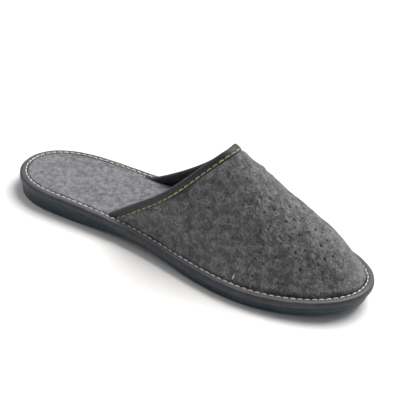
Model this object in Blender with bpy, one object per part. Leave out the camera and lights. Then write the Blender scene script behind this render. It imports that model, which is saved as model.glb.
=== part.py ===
# Felt house slipper, the left one of a pair: a backless mule of thick grey felt on a low moulded
# sole. The felt upper turns outward at its foot, so that it lies on the rim of the felt insole,
# and one tape is wrapped round the rim of both. A darker tape is folded over the collar.
#
# Metres, +Z up, +X towards the toe, +Y to the outer (lateral) side of this left shoe.
# The origin is on the floor, under the middle of the sole.
#
# Every outline point is named by a turn along the shoe, t, from 0 at the heel tip to pi at the
# toe tip. Its share of the length is (1 - cos t) / 2, which packs the points towards both tips.

import math

import bmesh
import bpy
import numpy as np

# Driving sizes of the sole
LENGTH = 0.285
BALL_WIDTH = 0.108
HEEL_WIDTH = 0.0735
HEEL_ROUND = 0.035
TOE_ROUND = 0.034
HEEL_HEIGHT = 0.0165
BALL_HEIGHT = 0.0120
TOE_SPRING = 0.0070
ARCH_RISE = 0.0048
SOLE_INSET = 0.0010
SOLE_TAPER = 0.0012
SOLE_BEVEL = 0.0015

# Layers at the rim, and the gap that keeps them apart
GAP = 0.0003
TAPE = 0.0012
TAPE_REACH = 0.0060
TAPE_DROP = 0.0050
TAPE_ROUND = 0.0012
FLANGE = 0.0015

# Driving sizes of the upper
INSTEP_HEIGHT = 0.0762
WALL = 0.0028
BINDING = 0.0010
BINDING_WIDTH = 0.0063

# Where the collar runs, as shares of the length, and how it bows from its peak to its two ends
COLLAR_PEAK = 0.595
COLLAR_MEDIAL_END = 0.318
COLLAR_LATERAL_END = 0.295
COLLAR_BOW = 1.66
COLLAR_MEDIAL_POWER = 0.93
COLLAR_LATERAL_POWER = 0.69

# Stations of the sole as shares of the length: heel flat, waist and ball of the underside
HEEL_FLAT_END = 0.22
ARCH_TOP = 0.42
BALL_FLAT_START = 0.63
BALL_FLAT_END = 0.74
WAIST_START = 0.15
WAIST_END = 0.65
SPRING_POWER = 1.6

# Outline of the sole. Each half width is a share of the width of the last at that place, which
# passes from HEEL_WIDTH to BALL_WIDTH between the two stations below.
WIDTH_GROWS_FROM = 0.20
WIDTH_GROWS_TO = 0.65
OUTLINE = (
    # place, medial, lateral
    (0.10, 0.463, 0.450),
    (0.20, 0.488, 0.512),
    (0.30, 0.454, 0.515),
    (0.40, 0.417, 0.508),
    (0.50, 0.415, 0.518),
    (0.60, 0.438, 0.534),
    (0.70, 0.463, 0.534),
    (0.80, 0.438, 0.481),
    (0.90, 0.347, 0.365),
)

# Sections of the upper. Height is a share of INSTEP_HEIGHT. Shift moves the crown towards the
# lateral side, as a share of BALL_WIDTH. Each side of a section is one curve from the foot of
# the wall to the crown: it leans inward by a share of the half width while it climbs by the
# share named rise, and it reaches the crown from a shoulder at the last share of the half width.
SECTIONS = (
    # place, height, shift, medial lean, lateral lean, rise, medial shoulder, lateral shoulder
    (0.30, 1.377, -0.031, 0.067, 0.064, 0.49, 0.46, 0.50),
    (0.40, 1.256, -0.040, 0.081, 0.163, 0.41, 0.47, 0.45),
    (0.50, 1.129, -0.048, 0.094, 0.260, 0.33, 0.48, 0.40),
    (0.60, 1.000, -0.056, 0.108, 0.340, 0.26, 0.49, 0.36),
    (0.70, 0.815, -0.048, 0.097, 0.265, 0.28, 0.50, 0.41),
    (0.80, 0.620, -0.039, 0.087, 0.170, 0.30, 0.51, 0.46),
    (0.90, 0.411, -0.031, 0.076, 0.080, 0.33, 0.52, 0.52),
)
TOE_FULLNESS = 0.335

MEDIAL, LATERAL = -1, 1
HEEL_ROWS = 14
UPPER_ROWS = 26
UPPER_COLUMNS = 33
REBATE_RAMP = 0.0030
MERGE = 1e-5


def smooth(share):
    """0 to 1 with no slope at either end."""
    share = np.clip(share, 0.0, 1.0)
    return share * share * (3.0 - 2.0 * share)


def turn_at(place):
    """The turn of a share of the length."""
    return np.arccos(1.0 - 2.0 * np.asarray(place, dtype=float))


def place_at(turn):
    """The share of the length of a turn."""
    return (1.0 - np.cos(turn)) / 2.0


def curve_through(knots, values, where):
    """Natural cubic curve through the values at the knots, read at each place in where."""
    knots, values = np.asarray(knots, dtype=float), np.asarray(values, dtype=float)
    step = np.diff(knots)
    slope = np.diff(values) / step
    matrix, right = np.eye(len(knots)), np.zeros(len(knots))
    for i in range(1, len(knots) - 1):
        matrix[i, i - 1:i + 2] = step[i - 1], 2.0 * (step[i - 1] + step[i]), step[i]
        right[i] = 6.0 * (slope[i] - slope[i - 1])
    bend = np.linalg.solve(matrix, right)
    where = np.asarray(where, dtype=float)
    i = np.clip(np.searchsorted(knots, where) - 1, 0, len(step) - 1)
    along = where - knots[i]
    start = slope[i] - step[i] * (2.0 * bend[i] + bend[i + 1]) / 6.0
    return (values[i] + along * start + along ** 2 * bend[i] / 2.0
            + along ** 3 * (bend[i + 1] - bend[i]) / (6.0 * step[i]))


def column(table, number):
    """One column of a table of rows."""
    return np.array([row[number] for row in table])


# Sole and rim

def half_width(turn, side):
    """Distance from the axis to the outline, a round end at both tips."""
    places = column(OUTLINE, 0)
    grown = smooth((places - WIDTH_GROWS_FROM) / (WIDTH_GROWS_TO - WIDTH_GROWS_FROM))
    width = HEEL_WIDTH + (BALL_WIDTH - HEEL_WIDTH) * grown
    halves = column(OUTLINE, 1 if side == MEDIAL else 2) * width
    turns = turn_at(places)
    knots = np.concatenate(([0.0], turns, [math.pi]))
    heel, toe = math.sqrt(HEEL_ROUND * LENGTH / 2.0), math.sqrt(TOE_ROUND * LENGTH / 2.0)
    fullness = np.concatenate(([heel], halves / np.sin(turns), [toe]))
    return np.sin(turn) * curve_through(knots, fullness, turn)


def outline_point(turn, side):
    """Plan position on the outline, before it is centred."""
    return np.stack([LENGTH * place_at(turn), side * half_width(turn, side)], axis=-1)


def widest(side):
    """The greatest half width on one side."""
    return float(np.max(half_width(np.linspace(0.0, math.pi, 721), side)))


CENTRE = np.array([LENGTH / 2.0, (widest(LATERAL) - widest(MEDIAL)) / 2.0])


def edge_point(turn, side, inset):
    """Plan position inset from the outline by a distance, in the part's own frame."""
    turn = np.asarray(turn, dtype=float)
    nudge = 1e-4
    ahead = outline_point(np.clip(turn + nudge, 0.0, math.pi), side)
    behind = outline_point(np.clip(turn - nudge, 0.0, math.pi), side)
    along = ahead - behind
    along /= np.linalg.norm(along, axis=-1, keepdims=True)
    inward = side * np.stack([along[..., 1], -along[..., 0]], axis=-1)
    inset = np.asarray(inset, dtype=float)[..., None]
    return outline_point(turn, side) + inward * inset - CENTRE


def toe_lift(place):
    """Toe spring, from the end of the ball's flat to the toe tip."""
    share = np.clip((place - BALL_FLAT_END) / (1.0 - BALL_FLAT_END), 0.0, 1.0)
    return TOE_SPRING * share ** SPRING_POWER


def rim_height(place):
    """Top of the tape on the rim."""
    waist = smooth((place - WAIST_START) / (WAIST_END - WAIST_START))
    return HEEL_HEIGHT + (BALL_HEIGHT - HEEL_HEIGHT) * waist + toe_lift(place)


def underside_height(place):
    """Underside of the sole: flat heel, raised arch, flat ball and toe spring."""
    up = smooth((place - HEEL_FLAT_END) / (ARCH_TOP - HEEL_FLAT_END))
    down = smooth((place - ARCH_TOP) / (BALL_FLAT_START - ARCH_TOP))
    return ARCH_RISE * up * (1.0 - down) + toe_lift(place)


def place_of(x):
    """Share of the length of a position."""
    return (x + LENGTH / 2.0) / LENGTH


def rebate_turns(side):
    """Where the insole's rim starts to sink, and where it has sunk, behind the upper's end."""
    end = (COLLAR_MEDIAL_END if side == MEDIAL else COLLAR_LATERAL_END) * LENGTH
    sunk = end - 2.0 * GAP
    return turn_at((sunk - REBATE_RAMP) / LENGTH), turn_at(sunk / LENGTH)


def wall_rows(across):
    """Turns of the wall's rows: the collar, the edge of its tape, then even steps to the toe."""
    start = collar_turn(across)
    under_binding = start + collar_step(across, BINDING_WIDTH)
    even = [under_binding + (math.pi - under_binding) * k / UPPER_ROWS for k in range(UPPER_ROWS + 1)]
    return [start] + even


def rim_turns(side):
    """The turns at which sole, insole and tape have their points. In front of the collar these
    are the rows of the upper, so that the pieces keep their gap all the way round."""
    start, sunk = rebate_turns(side)
    heel = np.linspace(0.0, start, HEEL_ROWS + 1)
    return np.concatenate((heel, [sunk], wall_rows(float(side))))


def rim_loop(inset, height):
    """Closed ring of points: medial side from heel to toe, then back along the lateral side.
    height gives a point's height from its share of the length, its turn and its side."""
    points = []
    for side, ordered in ((MEDIAL, rim_turns(MEDIAL)), (LATERAL, rim_turns(LATERAL)[-2:0:-1])):
        for turn in ordered:
            x, y = edge_point(turn, side, inset)
            points.append((x, y, float(height(place_of(x), turn, side))))
    return points


# Upper

def wall_inset():
    """How far the foot of the upper's wall stands in from the outline."""
    return TAPE_REACH + GAP


def bezier(start, rise, shoulder, crown, share):
    """Cubic curve from start to crown."""
    rest = 1.0 - share
    return (rest ** 3 * start + 3.0 * rest ** 2 * share * rise
            + 3.0 * rest * share ** 2 * shoulder + share ** 3 * crown)


def upper_height(turn):
    """Height of the crown over the foot of the wall, falling in a round to the toe tip."""
    turns = turn_at(column(SECTIONS, 0))
    knots = np.concatenate((turns, [math.pi]))
    fullness = np.concatenate((column(SECTIONS, 1) / np.sin(turns), [TOE_FULLNESS]))
    return INSTEP_HEIGHT * np.sin(turn) * curve_through(knots, fullness, turn)


def section_share(turn, number):
    """One of the sections' shares, between the rows held by a smooth curve."""
    places = column(SECTIONS, 0)
    place = np.clip(place_at(turn), places[0], places[-1])
    return curve_through(places, column(SECTIONS, number), place)


def upper_point(turn, across, depth):
    """A point of the felt wall. across runs from -1 at the medial foot of the wall over the
    crown at 0 to 1 at the lateral foot, and depth is measured in from the outer face."""
    turn, across = np.broadcast_arrays(np.asarray(turn, dtype=float), across)
    inset = np.full(turn.shape, wall_inset() + depth)
    medial = edge_point(turn, MEDIAL, inset)
    lateral = edge_point(turn, LATERAL, inset)
    middle, reach = (medial + lateral) / 2.0, (lateral - medial) / 2.0
    half = np.linalg.norm(reach, axis=-1)
    height = np.hypot(upper_height(turn), depth) - depth
    outer_side = across > 0.0
    sign = np.where(outer_side, 1.0, -1.0)
    lean = np.where(outer_side, section_share(turn, 4), section_share(turn, 3))
    shoulder = np.where(outer_side, section_share(turn, 7), section_share(turn, 6))
    shift = sign * section_share(turn, 2) * BALL_WIDTH * np.minimum(1.0, half / HEEL_ROUND)
    climb = 1.0 - np.abs(across)
    side = sign * bezier(half, half * (1.0 - lean), shoulder * half + shift, shift, climb)
    zero = np.zeros_like(height)
    up = bezier(zero, section_share(turn, 5) * height, height, height, climb)
    plan = middle + reach / np.maximum(half, MERGE)[..., None] * side[..., None]
    base = rim_height(place_of(plan[..., 0])) - TAPE - GAP
    return np.concatenate([plan, (base + up)[..., None]], axis=-1)


def collar_turn(across):
    """The turn at which the collar cuts the wall."""
    across = np.asarray(across, dtype=float)
    end = np.where(across > 0.0, COLLAR_LATERAL_END, COLLAR_MEDIAL_END)
    power = np.where(across > 0.0, COLLAR_LATERAL_POWER, COLLAR_MEDIAL_POWER)
    bow = np.clip(1.0 - np.abs(across) ** COLLAR_BOW, 0.0, 1.0) ** power
    return turn_at(end + (COLLAR_PEAK - end) * bow)


def binding_foot(across):
    """The place across the wall, near one foot of it, where the wall has cleared the rim's tape."""
    turn = collar_turn(across)
    slope = 3.0 * section_share(turn, 5) * upper_height(turn)
    return across * (1.0 - float((TAPE + 3.0 * GAP) / slope))


def binding_columns():
    """The places across the wall that the collar's tape covers."""
    return np.linspace(binding_foot(-1.0), binding_foot(1.0), UPPER_COLUMNS)


def wall_columns():
    """The places across the wall, from the medial to the lateral foot."""
    return np.concatenate(([-1.0], binding_columns(), [1.0]))


# Mesh building

def shade(name, colour, roughness):
    """A plain material."""
    material = bpy.data.materials.new(name)
    material.use_nodes = True
    surface = material.node_tree.nodes["Principled BSDF"]
    surface.inputs["Base Color"].default_value = (*colour, 1.0)
    surface.inputs["Roughness"].default_value = roughness
    surface.inputs["Metallic"].default_value = 0.0
    return material


def make_piece(name, points, faces, material, sharp_degrees=40.0):
    """An object from points and faces, with doubles merged and faces turned outward."""
    mesh = bpy.data.meshes.new(name)
    form = bmesh.new()
    verts = [form.verts.new(point) for point in points]
    for face in faces:
        form.faces.new([verts[i] for i in face])
    bmesh.ops.remove_doubles(form, verts=form.verts, dist=MERGE)
    bmesh.ops.dissolve_degenerate(form, edges=form.edges, dist=MERGE)
    bmesh.ops.triangulate(form, faces=form.faces)
    bmesh.ops.recalc_face_normals(form, faces=form.faces)
    form.to_mesh(mesh)
    form.free()
    mesh.shade_smooth()
    mesh.set_sharp_from_angle(angle=math.radians(sharp_degrees))
    mesh.materials.append(material)
    piece = bpy.data.objects.new(name, mesh)
    bpy.context.scene.collection.objects.link(piece)
    return piece


def loft(loops, closed):
    """Points and faces between loops of equal length; closed also joins the last to the first."""
    count = len(loops[0])
    points = [point for loop in loops for point in loop]
    faces = []
    for k in range(len(loops) if closed else len(loops) - 1):
        low, high = k * count, (k + 1) % len(loops) * count
        for i in range(count):
            j = (i + 1) % count
            faces.append((low + i, low + j, high + j, high + i))
    return points, faces


def cap(first, count):
    """Faces that close a rim loop with strips from its medial to its lateral side."""
    half = count // 2
    lateral = [first] + [first + count - i for i in range(1, half)] + [first + half]
    faces = []
    for i in range(half):
        face = (first + i, first + i + 1, lateral[i + 1], lateral[i])
        faces.append(tuple(dict.fromkeys(face)))
    return faces


def slab(name, loops, material):
    """A closed solid through rim loops, with a cap over the first and the last."""
    points, faces = loft(loops, closed=False)
    count = len(loops[0])
    faces += cap(0, count) + cap((len(loops) - 1) * count, count)
    return make_piece(name, points, faces, material)


# Pieces

def build_outsole():
    """Moulded sole: a taper down its side and a bevel round its flat underside."""
    top = TAPE_DROP + GAP

    def under(place, turn, side):
        return underside_height(place)

    def above(place, turn, side):
        return underside_height(place) + SOLE_BEVEL

    def upper_edge(place, turn, side):
        return rim_height(place) - top

    loops = [
        rim_loop(SOLE_INSET + SOLE_TAPER + SOLE_BEVEL, under),
        rim_loop(SOLE_INSET + SOLE_TAPER, above),
        rim_loop(SOLE_INSET, upper_edge),
    ]
    return slab("outsole", loops, shade("sole_rubber", (0.028, 0.048, 0.058), 0.55))


def build_insole():
    """Felt footbed. Its rim sinks by the flange's thickness where the upper lies on it."""
    outer = TAPE + GAP
    inner = wall_inset() + WALL + GAP

    def sunk(turn, side):
        start, stop = rebate_turns(side)
        return (FLANGE + GAP) * np.clip((turn - start) / (stop - start), 0.0, 1.0)

    def bottom(place, turn, side):
        return rim_height(place) - TAPE_DROP

    def rim(place, turn, side):
        return rim_height(place) - TAPE - GAP - sunk(turn, side)

    def face(place, turn, side):
        return rim_height(place) - TAPE - GAP

    loops = [rim_loop(outer, bottom), rim_loop(outer, rim), rim_loop(inner, rim), rim_loop(inner + GAP, face)]
    return slab("insole", loops, shade("insole_felt", (0.30, 0.30, 0.33), 0.95))


def build_edge_binding():
    """Tape wrapped round the rim: a top leg with a rounded shoulder and a side leg."""
    section = (
        # inset from the outline, drop below the top of the rim
        (TAPE, TAPE_DROP),
        (GAP, TAPE_DROP),
        (0.0, TAPE_DROP - GAP),
        (0.0, TAPE_ROUND),
        (TAPE_ROUND * (1.0 - math.sqrt(0.5)), TAPE_ROUND * (1.0 - math.sqrt(0.5))),
        (TAPE_ROUND, 0.0),
        (TAPE_REACH - GAP, 0.0),
        (TAPE_REACH, GAP),
        (TAPE_REACH, TAPE),
        (TAPE, TAPE),
    )
    loops = []
    for inset, drop in section:
        loops.append(rim_loop(inset, lambda place, turn, side, drop=drop: rim_height(place) - drop))
    points, faces = loft(loops, closed=True)
    return make_piece("edge_binding", points, faces, shade("edge_tape", (0.085, 0.085, 0.10), 0.60))


def flange_points(turn, side):
    """Outer top, outer bottom and inner bottom corners of the upper's foot, at one turn."""
    corners = (
        (TAPE + GAP, TAPE + GAP),
        (TAPE + GAP, TAPE + GAP + FLANGE),
        (wall_inset() + WALL, TAPE + GAP + FLANGE),
    )
    points = []
    for inset, drop in corners:
        x, y = edge_point(turn, side, inset)
        points.append((x, y, float(rim_height(place_of(x)) - drop)))
    return points


def build_upper():
    """Hollow felt vamp, open at the collar and underneath, with its foot turned outward."""
    across = wall_columns()
    loops = []
    for turns in wall_rows(across):
        outer = upper_point(turns, across, 0.0)
        inner = upper_point(turns, across, WALL)
        loop = [tuple(point) for point in outer]
        loop += flange_points(turns[-1], LATERAL)
        loop += [tuple(point) for point in inner[::-1]]
        loop += flange_points(turns[0], MEDIAL)[::-1]
        loops.append(loop)
    points, faces = loft(loops, closed=False)
    count, last = len(loops[0]), len(across) - 1
    foot = last + 3
    for i in range(last):
        faces.append((i, i + 1, foot + last - i, foot + last - i + 1))
    faces.append((last, last + 1, last + 2, last + 3, foot + 1))
    faces.append((0, foot + 1 + last, count - 3, count - 2, count - 1))
    return make_piece("upper", points, faces, shade("upper_felt", (0.15, 0.15, 0.165), 0.95))


def collar_step(across, distance):
    """Change of turn that goes a distance forward from the collar, square to its rim."""
    turn = collar_turn(across)
    nudge = 1e-3
    forward = (upper_point(turn + nudge, across, 0.0) - upper_point(turn, across, 0.0)) / nudge
    beside = np.clip(across + nudge, -1.0, 1.0), np.clip(across - nudge, -1.0, 1.0)
    rim = (upper_point(collar_turn(beside[0]), beside[0], 0.0)
           - upper_point(collar_turn(beside[1]), beside[1], 0.0))
    rim /= np.linalg.norm(rim, axis=-1, keepdims=True)
    square = forward - rim * np.sum(forward * rim, axis=-1, keepdims=True)
    length = np.linalg.norm(forward, axis=-1)
    return distance / np.maximum(np.linalg.norm(square, axis=-1), length * math.sqrt(0.5))


def build_collar_binding():
    """Tape folded over the collar: an outer leg, a round fold and an inner leg."""
    across = binding_columns()
    fold = GAP + BINDING
    outside, inside = -fold, WALL + fold
    corner = fold * (1.0 - math.sqrt(0.5))
    section = (
        # distance ahead of the rim and depth from the felt's outer face, outside and felt side
        ((BINDING_WIDTH, outside), (BINDING_WIDTH, -GAP)),
        ((GAP, outside), (GAP, -GAP)),
        ((corner - fold, outside + corner), (-GAP, -GAP)),
        ((-fold, WALL / 2.0), (-GAP, WALL / 2.0)),
        ((corner - fold, inside - corner), (-GAP, WALL + GAP)),
        ((GAP, inside), (GAP, WALL + GAP)),
        ((BINDING_WIDTH, inside), (BINDING_WIDTH, WALL + GAP)),
    )
    start = collar_turn(across)
    lines = []
    for ahead, depth in [outer for outer, _ in section] + [inner for _, inner in section[::-1]]:
        lines.append(upper_point(start + collar_step(across, ahead), across, depth))
    loops = [[tuple(line[i]) for line in lines] for i in range(len(across))]
    points, faces = loft(loops, closed=False)
    count, last = len(lines), len(section) - 1
    for first in (0, (len(loops) - 1) * count):
        for i in range(last):
            faces.append((first + i, first + i + 1, first + count - 2 - i, first + count - 1 - i))
    return make_piece("collar_binding", points, faces, shade("collar_tape", (0.035, 0.036, 0.042), 0.60))


def clear_scene():
    """Remove whatever the open file holds."""
    for item in list(bpy.data.objects):
        bpy.data.objects.remove(item, do_unlink=True)


def main():
    clear_scene()
    build_outsole()
    build_insole()
    build_edge_binding()
    build_upper()
    build_collar_binding()


main()
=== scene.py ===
# Looks of the felt slipper: felt upper with its seam, soft folds, pinholes and loose fibres, dark
# lining, two tapes folded over the edges, stitches, felt footbed and moulded sole.
#
# Metres, +Z up, +X towards the toe, +Y to the outer (lateral) side of this left shoe.
# A place is a share of the shoe's length. A turn runs from 0 at the heel tip to pi at the toe tip
# and its place is (1 - cos turn) / 2. Across runs from -1 at the medial foot of the felt wall
# over the crown at 0 to 1 at its lateral foot.

import math

import bmesh
import bpy
import numpy as np
from mathutils import Matrix, Vector


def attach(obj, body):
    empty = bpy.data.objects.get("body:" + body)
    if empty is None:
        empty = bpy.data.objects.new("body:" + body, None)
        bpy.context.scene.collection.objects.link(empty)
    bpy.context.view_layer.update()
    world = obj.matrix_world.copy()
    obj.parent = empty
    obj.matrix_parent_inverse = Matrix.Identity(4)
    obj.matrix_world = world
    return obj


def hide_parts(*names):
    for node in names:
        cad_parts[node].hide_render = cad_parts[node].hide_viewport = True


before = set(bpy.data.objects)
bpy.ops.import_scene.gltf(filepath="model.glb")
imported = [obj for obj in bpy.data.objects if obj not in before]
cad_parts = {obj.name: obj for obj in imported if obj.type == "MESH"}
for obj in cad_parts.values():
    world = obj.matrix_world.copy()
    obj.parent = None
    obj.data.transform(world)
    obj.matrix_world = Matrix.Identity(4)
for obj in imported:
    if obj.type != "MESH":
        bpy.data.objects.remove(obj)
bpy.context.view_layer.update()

# Sizes of the last and its layers, the same as in the solids
LENGTH = 0.285
BALL_WIDTH = 0.108
HEEL_WIDTH = 0.0735
HEEL_ROUND = 0.035
TOE_ROUND = 0.034
HEEL_HEIGHT = 0.0165
BALL_HEIGHT = 0.0120
TOE_SPRING = 0.0070
ARCH_RISE = 0.0048
SOLE_INSET = 0.0010
SOLE_TAPER = 0.0012
SOLE_BEVEL = 0.0015
GAP = 0.0003
TAPE = 0.0012
TAPE_REACH = 0.0060
TAPE_DROP = 0.0050
FLANGE = 0.0015
INSTEP_HEIGHT = 0.0762
WALL = 0.0028
BINDING_WIDTH = 0.0060
FOLD_PROUD = 0.00085
FOLD_START = 0.0028
FOLD_TIP = 0.0007
COLLAR_PEAK = 0.595
COLLAR_MEDIAL_END = 0.318
COLLAR_LATERAL_END = 0.295
COLLAR_BOW = 1.66
COLLAR_MEDIAL_POWER = 0.93
COLLAR_LATERAL_POWER = 0.69
HEEL_FLAT_END = 0.22
ARCH_TOP = 0.42
BALL_FLAT_START = 0.63
BALL_FLAT_END = 0.74
WAIST_START = 0.15
WAIST_END = 0.65
SPRING_POWER = 1.6
WIDTH_GROWS_FROM = 0.20
WIDTH_GROWS_TO = 0.65
OUTLINE = (
    # place, medial, lateral
    (0.10, 0.463, 0.450),
    (0.20, 0.488, 0.512),
    (0.30, 0.454, 0.515),
    (0.40, 0.417, 0.508),
    (0.50, 0.415, 0.518),
    (0.60, 0.438, 0.534),
    (0.70, 0.463, 0.534),
    (0.80, 0.438, 0.481),
    (0.90, 0.347, 0.365),
)
SECTIONS = (
    # place, height, shift, medial lean, lateral lean, rise, medial shoulder, lateral shoulder
    (0.30, 1.377, -0.031, 0.067, 0.064, 0.49, 0.46, 0.50),
    (0.40, 1.256, -0.040, 0.081, 0.163, 0.41, 0.47, 0.45),
    (0.50, 1.129, -0.048, 0.094, 0.260, 0.33, 0.48, 0.40),
    (0.60, 1.000, -0.056, 0.108, 0.340, 0.26, 0.49, 0.36),
    (0.70, 0.815, -0.048, 0.097, 0.265, 0.28, 0.50, 0.41),
    (0.80, 0.620, -0.039, 0.087, 0.170, 0.30, 0.51, 0.46),
    (0.90, 0.411, -0.031, 0.076, 0.080, 0.33, 0.52, 0.52),
)
TOE_FULLNESS = 0.335
MEDIAL, LATERAL = -1, 1

# Seam over the vamp: where it crosses the felt
SEAM = (
    # across, place
    (-1.00, 0.704),
    (-0.70, 0.714),
    (-0.40, 0.713),
    (-0.10, 0.703),
    (0.15, 0.686),
    (0.45, 0.650),
    (0.75, 0.618),
    (1.00, 0.602),
)
SEAM_DEPTH = 0.0008
SEAM_WIDTH = 0.0021
SEAM_SWELL = 0.0004
SWELL_AWAY = 0.0045
SWELL_WIDTH = 0.0022

# Folds of the soft felt: long troughs (depth below zero) and ridges
FOLDS = (
    # place, across, heading in degrees from the shoe's axis, length, width, depth
    (0.585, -0.70, -4.0, 0.130, 0.0085, -0.0021),
    (0.790, -0.64, -9.0, 0.100, 0.0075, -0.0023),
    (0.650, 0.78, 6.0, 0.130, 0.0060, 0.0009),
    (0.600, 0.62, 4.0, 0.110, 0.0080, -0.0007),
    (0.675, -0.30, 78.0, 0.070, 0.0070, 0.0006),
    (0.640, -0.42, 70.0, 0.060, 0.0060, -0.0006),
    (0.760, -0.55, 52.0, 0.045, 0.0055, -0.0005),
    (0.660, 0.34, 104.0, 0.055, 0.0065, 0.0005),
    (0.900, -0.32, 30.0, 0.034, 0.0045, -0.0005),
    (0.915, 0.30, -28.0, 0.032, 0.0045, -0.0005),
    (0.945, 0.02, 84.0, 0.030, 0.0040, -0.0004),
)
VAMP_GIRTH = 0.150

# Swells and dents of the felt along its foot and ahead of the collar: height, distance, width
FOOT_BULGE = (0.0013, 0.0070, 0.0045)
FOOT_DENT = (-0.0010, 0.0, 0.0016)
COLLAR_BULGE = (0.0006, 0.0100, 0.0032)
COLLAR_DENT = (-0.0003, 0.0052, 0.0016)
COLLAR_FADE = 0.004
TOE_FADE = 0.010

# How far the soft collar sags forward on the medial side, as a share of the length
COLLAR_SAG = 0.0075

# How far the collar's tape presses each face of the felt in at its rim, and how far on it fades
COLLAR_PRESS = 0.0004
PRESS_REACH = 0.0065

# Pinholes in front of the seam, in staggered rows, each a little out of its place
HOLE_RADIUS = 0.00066
HOLE_DEPTH = 0.0013
HOLE_PITCH = 0.0108
HOLE_ROW = 0.0056
HOLE_FIRST = 0.0060
HOLE_ROWS = 11
HOLE_REACH = 0.044
HOLE_TAPER = 0.0016
HOLE_STRAY = 0.0009

# Lays of the wool in the felt: turns about X, Y and Z
PALE_LAYS = ((0.2, 0.5, 0.0), (1.9, 0.3, 1.1), (0.7, 1.2, 2.2), (2.6, 0.9, 0.4))
DARK_LAYS = ((1.2, 2.1, 1.7), (0.4, 0.8, 2.8), (2.2, 1.6, 0.9))

# Loose fibres on the felt
NAP_DENSITY = 340000.0
NAP_LENGTH = 0.0042
NAP_FIBRE = 0.000040
NAP_RISE = 0.00030
NAP_TILT = 0.34

# Threads
THREAD = 0.00045
RIM_STITCH_INSET = 0.0046
RIM_PITCH = 0.0048
COLLAR_STITCH_AHEAD = 0.0050
COLLAR_PITCH = 0.0050
SEAM_PITCH = 0.0054
SEAM_END = (0.0036, 0.0042)
STITCH_SHARE = 0.70
STITCH_RISE = 0.00016
STITCH_SINK = 0.00050
STITCH_SKEW = 0.05
PRICK_WIDTH = 0.0008

# Swells of the tapes, as height, distance and width, how deep the stitches pull them in, and where
# a painted highlight makes them pale along the rim tape's top shoulder and the collar tape's fold
TAPE_CROWN = (0.00016, 0.0028, 0.0011)
TAPE_SIDE = (-0.00018, 0.0033, 0.0011)
TAPE_MARGIN = 0.00060
TAPE_PULL = 0.00034
TAPE_HIGHLIGHT = (1.0, 0.0026, 0.0016)
COLLAR_CROWN = (0.00025, 0.0022, 0.0014)
COLLAR_PULL = 0.00036
COLLAR_HIGHLIGHT_WIDTH = 0.0016

# How far the bare footbed swells over its pressed rim
BED_SWELL = 0.0017

# Hollow that the heel has worn in it: depth, place from the middle, length and width
HEEL_HOLLOW = (0.0006, -0.102, 0.028, 0.020)

# How far ahead of the collar's ends the footbed goes under the upper, as a share of the length
BED_TUCK = 0.006

# Lip round the top of the sole's side
LIP = (
    # inset, drop
    (0.00010, 0.0018),
    (0.00020, 0.0014),
    (-0.00015, 0.0011),
    (-0.00032, 0.0008),
    (-0.00032, 0.0004),
    (-0.00010, 0.0001),
    (0.00060, 0.0),
)

# Painted shade at the bottom of a pinhole and of a needle hole
PIT_SHADE = (0.012, 0.012, 0.013)
PRICK_SHADE = (0.006, 0.006, 0.007)

# Points closer than this are one, and edges bent more than this show sharp
MERGE = 1e-6
SHARP_EDGE = math.radians(60.0)

# Stations along both tapes lie this far apart
STATION = 0.0011

SEED = 7


def smooth(share):
    """0 to 1 with no slope at either end."""
    share = np.clip(share, 0.0, 1.0)
    return share * share * (3.0 - 2.0 * share)


def hump(distance, width):
    """A soft bump: 1 in the middle, nearly 0 at two widths."""
    return np.exp(-(distance / width) ** 2)


def ridge(distance, height, middle, width):
    """A swell, or a dent where its height is below zero, at a distance."""
    return height * hump(distance - middle, width)


def turn_at(place):
    """The turn of a share of the length."""
    return np.arccos(1.0 - 2.0 * np.asarray(place, dtype=float))


def place_at(turn):
    """The share of the length of a turn."""
    return (1.0 - np.cos(turn)) / 2.0


def place_of(x):
    """Share of the length of a position."""
    return (x + LENGTH / 2.0) / LENGTH


def curve_through(knots, values, where):
    """Natural cubic curve through the values at the knots, read at each place in where."""
    knots, values = np.asarray(knots, dtype=float), np.asarray(values, dtype=float)
    step = np.diff(knots)
    slope = np.diff(values) / step
    matrix, right = np.eye(len(knots)), np.zeros(len(knots))
    for i in range(1, len(knots) - 1):
        matrix[i, i - 1:i + 2] = step[i - 1], 2.0 * (step[i - 1] + step[i]), step[i]
        right[i] = 6.0 * (slope[i] - slope[i - 1])
    bend = np.linalg.solve(matrix, right)
    where = np.asarray(where, dtype=float)
    i = np.clip(np.searchsorted(knots, where) - 1, 0, len(step) - 1)
    along = where - knots[i]
    start = slope[i] - step[i] * (2.0 * bend[i] + bend[i + 1]) / 6.0
    return (values[i] + along * start + along ** 2 * bend[i] / 2.0
            + along ** 3 * (bend[i + 1] - bend[i]) / (6.0 * step[i]))


def column(table, number):
    """One column of a table of rows."""
    return np.array([row[number] for row in table])


# Sole and rim

def half_width(turn, side):
    """Distance from the axis to the outline, a round end at both tips."""
    places = column(OUTLINE, 0)
    grown = smooth((places - WIDTH_GROWS_FROM) / (WIDTH_GROWS_TO - WIDTH_GROWS_FROM))
    width = HEEL_WIDTH + (BALL_WIDTH - HEEL_WIDTH) * grown
    halves = column(OUTLINE, 1 if side == MEDIAL else 2) * width
    turns = turn_at(places)
    knots = np.concatenate(([0.0], turns, [math.pi]))
    heel, toe = math.sqrt(HEEL_ROUND * LENGTH / 2.0), math.sqrt(TOE_ROUND * LENGTH / 2.0)
    fullness = np.concatenate(([heel], halves / np.sin(turns), [toe]))
    return np.sin(turn) * curve_through(knots, fullness, turn)


def outline_point(turn, side):
    """Plan position on the outline, before it is centred."""
    return np.stack([LENGTH * place_at(turn), side * half_width(turn, side)], axis=-1)


def widest(side):
    """The greatest half width on one side."""
    return float(np.max(half_width(np.linspace(0.0, math.pi, 721), side)))


CENTRE = np.array([LENGTH / 2.0, (widest(LATERAL) - widest(MEDIAL)) / 2.0])


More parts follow.
